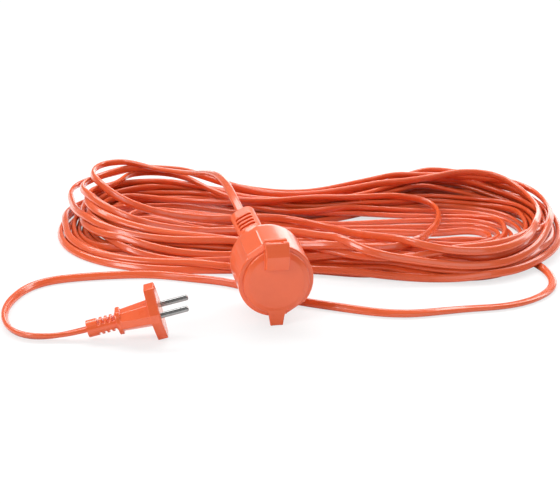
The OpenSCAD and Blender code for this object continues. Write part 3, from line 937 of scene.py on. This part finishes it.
    def drape(self, start: float, rest: Array) -> Array:
        """Returns the heights of a slack cord lying over the rests, from the start height.

        Args:
            start: Height of the row before the first.
            rest: Least heights.

        Returns:
            The draped heights.
        """
        drop = self.hank.sag * self.step**2 / 2
        z = rest.copy()
        for _ in range(self.drape_rounds):
            before = np.concatenate([[start], z[:-1]])
            after = np.concatenate([z[1:], z[-1:]])
            z = np.maximum(rest, (before + after) / 2 - drop)
        for _ in range(self.lift_rounds):
            full = np.concatenate([[start], z])
            soft = smooth_rows(full[:, None], self.lift_rows)[1:, 0]
            z = soft + np.maximum(rest - soft, 0) * self.lift
        return z

    def blend(self, path: Array, joins: Sequence[int]) -> Array:
        """Smooths the whole path, more at its joins, and keeps it on the floor.

        Args:
            path: All rows.
            joins: Rows where two stretches meet.

        Returns:
            The final rows, evenly spaced.
        """
        path = resample(path, self.step)
        soft = smooth_rows(path, self.soft_rows)
        softer = smooth_rows(path, self.join_rows)
        rows = np.arange(len(path))
        share = np.zeros(len(path))
        for join in joins:
            share = np.maximum(share, np.exp(-(((rows - join) / self.join_reach) ** 2)))
        out = soft + (softer - soft) * share[:, None]
        out[:, 2] = np.maximum(out[:, 2], self.section.reach(out[:, 3]) + self.floor_gap)
        return resample(out, self.ring_step)

    def skin(self, path: Array) -> tuple[list[list[float]], list[list[int]]]:
        """Puts the section round the centreline.

        Args:
            path: Rows of x, y, z and roll in radians.

        Returns:
            The points, a ring for each row, and the faces with a cap at each end.
        """
        centre, roll = path[:, :3], path[:, 3]
        t = np.gradient(centre, axis=0)
        t /= np.linalg.norm(t, axis=1)[:, None]
        right = np.stack([t[:, 1], -t[:, 0], np.zeros(len(t))], 1)
        right /= np.linalg.norm(right, axis=1)[:, None]
        down = np.cross(t, right)
        c, s = np.cos(roll)[:, None], np.sin(roll)[:, None]
        wide, tall = right * c + down * s, right * s - down * c
        shape = self.section.outline()
        rings = (
            centre[:, None, :]
            + wide[:, None, :] * shape[None, :, 0, None]
            + tall[:, None, :] * shape[None, :, 1, None]
        )
        n, m = len(centre), len(shape)
        points = rings.reshape(-1, 3)
        i, j = np.meshgrid(np.arange(n - 1), np.arange(m), indexing="ij")
        a, b = i * m + j, i * m + (j + 1) % m
        quads = np.stack([a, b, b + m, a + m], 2).reshape(-1, 4)
        caps = [list(range(m))[::-1], list(range((n - 1) * m, n * m))]
        return points.tolist(), [*quads.tolist(), *caps]

    def build(self, material: Material) -> Piece:
        """Args:
            material: The sheath's finish.

        Returns:
            The cord.
        """
        path = self.lay()
        cord = new_piece("cord", *self.skin(path), material, Body.LEAD)
        self.unwrap(cord)
        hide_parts("cord_plug_side", "cord_hank", "cord_socket_side")
        self.route.exit_stop(self.route.guard_len)[:3]
        return cord

    @staticmethod
    def carried() -> list[str]:
        """Returns the names of what is on the cord's far end."""
        shown = [piece.name for piece in bpy.data.objects if not piece.hide_render]
        return sorted(name for name in shown if name.startswith("plug_"))

    def unwrap(self, cord: Piece) -> None:
        """Lays out the cord's UVs: round the section, and along the length in metres."""
        mesh = cord.data
        loops = np.zeros(len(mesh.loops), dtype=np.int64)
        mesh.loops.foreach_get("vertex_index", loops)
        around = (loops % self.section.sides) / self.section.sides
        along = (loops // self.section.sides) * self.ring_step
        layer = mesh.uv_layers.new(name="length")
        layer.data.foreach_set("uv", np.stack([around, along], 1).astype(np.float32).ravel())


# ---------------------------------------------------------------- socket and plug
@dataclass
class Socket:
    """The trailing socket: housing, insert, contacts, hinge and strain relief."""

    cell: float = 0.45 * MM
    rounds: int = 5
    guard_cell: float = 0.32 * MM
    guard_rounds: int = 3
    rim: float = -20.8 * MM
    axis: float = 32.0 * MM
    pad_turn: float = 33.0
    pad_half: float = 7.0 * MM
    pad_high: float = 26.2 * MM
    ramp_low: float = 24.1 * MM
    ramp_len: float = 4.0 * MM

    def build(self, finishes: Finishes) -> None:
        """Dresses the socket's nodes."""
        housing = softened(
            "socket_housing", "housing", finishes["housing"], Body.LEAD, self.cell, self.rounds
        )
        self.ramp_pads(housing)
        softened(
            "socket_strain_relief", "socket_relief", finishes["guard"], Body.LEAD,
            self.guard_cell, self.guard_rounds,
        )
        dress("socket_face", finishes["insert"])
        for side in ("live", "neutral"):
            dress(f"socket_contact_{side}", finishes["brass"])
        dress_wires("socket", finishes)
        dress("hinge_pin", finishes["steel"])

    def ramp_pads(self, housing: Piece) -> None:
        """Slopes the front end of each grip pad down to the rim."""
        turn = math.radians(self.pad_turn)
        for side in (1.0, -1.0):
            out = Vector((-math.sin(turn), 0.0, math.cos(turn))) * side
            across = Vector((math.cos(turn), 0.0, math.sin(turn)))
            for vertex in housing.data.vertices:
                place = vertex.co - Vector((0.0, self.rim, self.axis))
                high = place.dot(out)
                limit = self.ramp_low + (self.pad_high - self.ramp_low) * place.y / self.ramp_len
                if abs(place.dot(across)) < self.pad_half and limit < high:
                    if place.y < self.ramp_len:
                        vertex.co += out * (limit - high)


@dataclass
class Lid:
    """The hinged lid, whose block has a ridge across its middle.

    Hinge is the y and z of its pin, and the other pairs are y and z from there.
    """

    cell: float = 0.35 * MM
    rounds: int = 3
    hinge: Pair = (-24.6 * MM, 58.2 * MM)
    block_half: float = 8.4 * MM
    pocket: float = 3.35 * MM
    foot: Pair = (-1.6 * MM, -16.5 * MM)
    below: float = 0.4 * MM
    skin: float = 0.05 * MM
    brow: Pair = (-4.6 * MM, 2.04 * MM)
    brow_lean: float = 0.8
    ridge: Pair = (-5.6 * MM, -5.5 * MM)
    ridge_lean: float = 0.33

    def build(self, finishes: Finishes) -> None:
        """Dresses the lid."""
        piece = softened("lid", "lid_cover", finishes["housing"], Body.LID, self.cell, self.rounds)
        for vertex in piece.data.vertices:
            y, z = vertex.co.y - self.hinge[0], vertex.co.z - self.hinge[1]
            kept = -math.sqrt(max(self.pocket**2 - z * z, 0.0)) - self.skin
            low = self.foot[1] - self.below
            if abs(vertex.co.x) < self.block_half and y < kept and z > low:
                grown = (kept - self.front(z)) / (kept - self.plain_front(z))
                vertex.co.y = self.hinge[0] + kept + (y - kept) * grown

    def plain_front(self, z: float) -> float:
        """Returns where the CAD block's front is, at a height from the hinge."""
        if z > self.brow[1]:
            return self.brow[0] + (z - self.brow[1]) * self.brow_lean
        share = (z - self.foot[1]) / (self.brow[1] - self.foot[1])
        return self.foot[0] + (self.brow[0] - self.foot[0]) * max(share, 0.0)

    def front(self, z: float) -> float:
        """Returns where the ridged block's front is, at a height from the hinge."""
        if z > self.ridge[1]:
            return self.ridge[0] + (z - self.ridge[1]) * self.ridge_lean
        share = (z - self.foot[1]) / (self.ridge[1] - self.foot[1])
        return self.foot[0] + (self.ridge[0] - self.foot[0]) * max(share, 0.0)


@dataclass
class Plug:
    """The moulded two-pin plug."""

    cell: float = 0.3 * MM
    rounds: int = 12
    guard_rounds: int = 2

    def build(self, finishes: Finishes) -> None:
        """Dresses the plug's nodes."""
        rubber = finishes["rubber"]
        softened("plug_body", "plug_moulding", rubber, Body.LEAD, self.cell, self.rounds)
        softened("plug_strain_relief", "plug_relief", rubber, Body.LEAD, self.cell, self.guard_rounds)
        # The bridge's paler finish partly paints in the highlights on the flange face.
        dress("plug_bridge", finishes["bridge"])
        for side in ("live", "neutral"):
            dress(f"plug_pin_{side}", finishes["plated"])
        dress_wires("plug", finishes)


# ---------------------------------------------------------------- studio
@dataclass(frozen=True)
class Softbox:
    """A rectangular soft light, with its place and sides in metres and its power in watts."""

    name: str
    place: Point
    size: Pair
    power: float

    def build(self, aim: Point) -> None:
        """Makes the light, turned towards the aim."""
        data = bpy.data.lights.new(self.name, "AREA")
        data.shape = "RECTANGLE"
        data.size, data.size_y = self.size
        data.energy = self.power
        lamp = new_object(self.name, data)
        lamp.location = self.place
        lamp.rotation_mode = "QUATERNION"
        lamp.rotation_quaternion = (Vector(aim) - Vector(self.place)).to_track_quat("-Z", "Y")


@dataclass
class Studio:
    """Camera, floor and soft lights."""

    azimuth: float = -9.79
    elevation: float = 21.36
    distance: float = 1.1
    target: Point = (0.0062, 0.0, 0.0448)
    focal_px: float = 1597.9
    frame_px: int = 560
    sensor_mm: float = 36.0
    clip: Pair = (0.05, 50.0)
    floor_half: float = 6.0
    floor_drop: float = 0.05 * MM
    floor_deep: Colour = (0.86, 0.86, 0.86)
    floor_pale: Colour = (0.9, 0.9, 0.9)
    floor_speck: float = 900.0
    floor_white: float = 0.7
    surround: float = 0.24
    middle: Point = (0.03, 0.08, 0.02)
    lamps: tuple[Softbox, ...] = (
        Softbox("back", (0.03, 0.70, 1.1), (2.6, 0.45), 26.0),
        Softbox("key", (-1.4, -0.7, 1.1), (0.7, 0.7), 15.0),
        Softbox("right", (1.4, 0.3, 0.8), (0.4, 0.9), 7.0),
        Softbox("front", (0.3, -1.7, 1.2), (1.6, 1.0), 7.5),
        Softbox("sweep", (0.75, 1.6, 0.3), (1.6, 0.5), 7.0),
    )

    def build(self) -> None:
        """Makes the whole studio."""
        self.camera()
        self.floor()
        self.world()
        for lamp in self.lamps:
            lamp.build(self.middle)
        bpy.context.scene.view_settings.view_transform = "Standard"

    def camera(self) -> None:
        """Makes the camera."""
        a, e = math.radians(self.azimuth), math.radians(self.elevation)
        back = Vector((math.sin(a) * math.cos(e), -math.cos(a) * math.cos(e), math.sin(e)))
        data = bpy.data.cameras.new("camera")
        data.sensor_width = self.sensor_mm
        data.lens = self.focal_px * self.sensor_mm / self.frame_px
        data.clip_start, data.clip_end = self.clip
        camera = new_object("camera", data)
        camera.location = Vector(self.target) + back * self.distance
        camera.rotation_mode = "QUATERNION"
        camera.rotation_quaternion = (-back).to_track_quat("-Z", "Y")
        bpy.context.scene.camera = camera

    def floor(self) -> None:
        """Makes the pale floor, which keeps a soft shadow."""
        net = Net("pale_floor")
        speck = net.noise(net.coordinates(), self.floor_speck, 2.0)
        tone = net.mix(speck, self.floor_deep, self.floor_pale)
        lit = net.add("ShaderNodeBsdfDiffuse", {}, {"Color": tone})
        white = net.add("ShaderNodeEmission", {}, {"Color": (1.0, 1.0, 1.0), "Strength": 1.0})
        seen = net.add("ShaderNodeLightPath", {}, {}, "Is Camera Ray")
        both = net.add("ShaderNodeMixShader", {}, {0: seen * self.floor_white, 1: lit, 2: white})
        net.add("ShaderNodeOutputMaterial", {}, {"Surface": both})
        half = self.floor_half
        mesh = bpy.data.meshes.new("floor")
        corners = [(-half, -half, 0), (half, -half, 0), (half, half, 0), (-half, half, 0)]
        mesh.from_pydata(corners, [], [(0, 1, 2, 3)])
        mesh.materials.append(net.material)
        floor = new_object("floor", mesh)
        floor.location.z = -self.floor_drop

    def world(self) -> None:
        """Makes an even pale surround, white where the camera sees it."""
        world = bpy.data.worlds.new("surround")
        world.use_nodes = True
        tree = world.node_tree
        path = tree.nodes.new("ShaderNodeLightPath")
        back = tree.nodes["Background"]
        back.inputs["Color"].default_value = (1.0, 1.0, 1.0, 1.0)
        level = tree.nodes.new("ShaderNodeMath")
        level.operation = "MULTIPLY_ADD"
        level.inputs[1].default_value = 1.0 - self.surround
        level.inputs[2].default_value = self.surround
        tree.links.new(path.outputs["Is Camera Ray"], level.inputs[0])
        tree.links.new(level.outputs[0], back.inputs["Strength"])
        bpy.context.scene.world = world


def main() -> None:
    """Builds the lead and its studio."""
    logging.basicConfig(level=logging.INFO, format="%(message)s")
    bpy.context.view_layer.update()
    finishes = Palette().build()
    Studio().build()
    Socket().build(finishes)
    Lid().build(finishes)
    Plug().build(finishes)
    Cord().build(finishes["sheath"])


if __name__ == "__main__":
    main()
